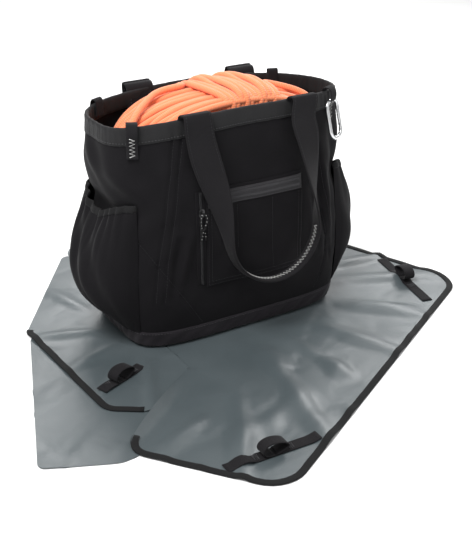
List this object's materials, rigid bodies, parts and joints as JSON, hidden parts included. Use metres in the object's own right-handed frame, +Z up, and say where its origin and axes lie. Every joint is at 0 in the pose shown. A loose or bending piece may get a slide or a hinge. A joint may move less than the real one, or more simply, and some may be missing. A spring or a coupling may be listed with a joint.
{
  "type": "rope storage bag",
  "caption": "Open-topped fabric rope tote with carry handles, end pockets, zipped front pocket and carabiner, holding a wrapped hank of rope on its folded ground tarp.",
  "frame": {"origin": "on the floor under the tarp, below the middle of the bag", "axes": "+X to the right along the bag's front, -Y out of its front, +Z up out of its mouth"},
  "size_m": [0.8861, 0.8565, 0.412],
  "materials": {
    "bag_fabric": "dense black plain weave, coated inside",
    "boot_fabric": "heavier charcoal weave",
    "webbing": "black nylon webbing",
    "elastic": "gathered elastic edge",
    "tarp_fabric": "blue-grey coated cloth with a sheen",
    "binding": "black folded tape",
    "rope": "salmon kernmantle sheath",
    "zip_plastic": "black nylon coil and cord pull",
    "zip_metal": "black lacquered slider",
    "polished_metal": "polished silver",
    "pin_steel": "steel pins"
  },
  "bodies": {
    "tarp": {"tarp_lower_fold": "tarp_fabric", "tarp_main_panel": "tarp_fabric", "tarp_side_fold": "tarp_fabric", "tarp_main_binding": "binding", "tarp_side_binding": "binding", "tarp_front_corner_strap": "webbing", "tarp_right_corner_strap": "webbing", "tarp_left_corner_strap": "webbing"},
    "bag": {"front_panel": "bag_fabric", "back_panel": "bag_fabric", "left_end_panel": "bag_fabric", "right_end_panel": "bag_fabric", "base_boot": "boot_fabric", "top_hem": "bag_fabric", "front_pocket_panel": "bag_fabric", "pocket_webbing": "webbing", "zip_tape": "bag_fabric", "zip_coil": "zip_plastic", "left_pocket": "bag_fabric", "right_pocket": "bag_fabric", "left_pocket_elastic": "elastic", "right_pocket_elastic": "elastic", "front_left_rim_loop": "webbing", "front_right_rim_loop": "webbing", "back_left_rim_loop": "webbing", "back_right_rim_loop": "webbing", "front_handle_ends": "webbing", "back_handle_ends": "webbing"},
    "rope": {"rope_hank": "rope"},
    "front_handle": {"front_handle": "webbing"},
    "back_handle": {"back_handle": "webbing"},
    "zip_slider": {"zip_slider": "zip_metal"},
    "zip_pull": {"zip_pull": "zip_plastic"},
    "carabiner": {"carabiner_frame": "polished_metal"},
    "carabiner_gate": {"carabiner_gate": "polished_metal", "carabiner_pivot_pin": "pin_steel", "carabiner_latch_pin": "pin_steel"}
  },
  "joints": [
    {"name": "bag_lift", "type": "slide", "parent": "tarp", "child": "bag", "axis": [0, 0, 1], "range_m": [0, 0.5]},
    {"name": "rope_lift", "type": "slide", "parent": "bag", "child": "rope", "axis": [0, 0, 1], "range_m": [0, 0.45]},
    {"name": "front_handle_swing", "type": "hinge", "parent": "bag", "child": "front_handle", "pos_m": [0, -0.09488, 0.39164], "axis": [-1, 0, 0], "range_deg": [0, 165]},
    {"name": "back_handle_swing", "type": "hinge", "parent": "bag", "child": "back_handle", "pos_m": [0, 0.09488, 0.39164], "axis": [1, 0, 0], "range_deg": [0, 165]},
    {"name": "zip_slide", "type": "slide", "parent": "bag", "child": "zip_slider", "axis": [0, -0.0554, -0.9985], "range_m": [-0.022, 0.108]},
    {"name": "zip_pull_swing", "type": "hinge", "parent": "zip_slider", "child": "zip_pull", "pos_m": [-0.093, -0.10881, 0.23575], "axis": [-1, 0, 0], "range_deg": [0, 118]},
    {"name": "carabiner_swing", "type": "hinge", "parent": "bag", "child": "carabiner", "pos_m": [0.17463, -0.0691, 0.3651], "axis": [-0.9174, -0.3979, 0], "range_deg": [0, 75]},
    {"name": "gate_swing", "type": "hinge", "parent": "carabiner", "child": "carabiner_gate", "pos_m": [0.19345, -0.07228, 0.32338], "axis": [0.3861, -0.8902, 0.2419], "range_deg": [0, 11], "stiffness_Nm_per_rad": 0.02}
  ]
}
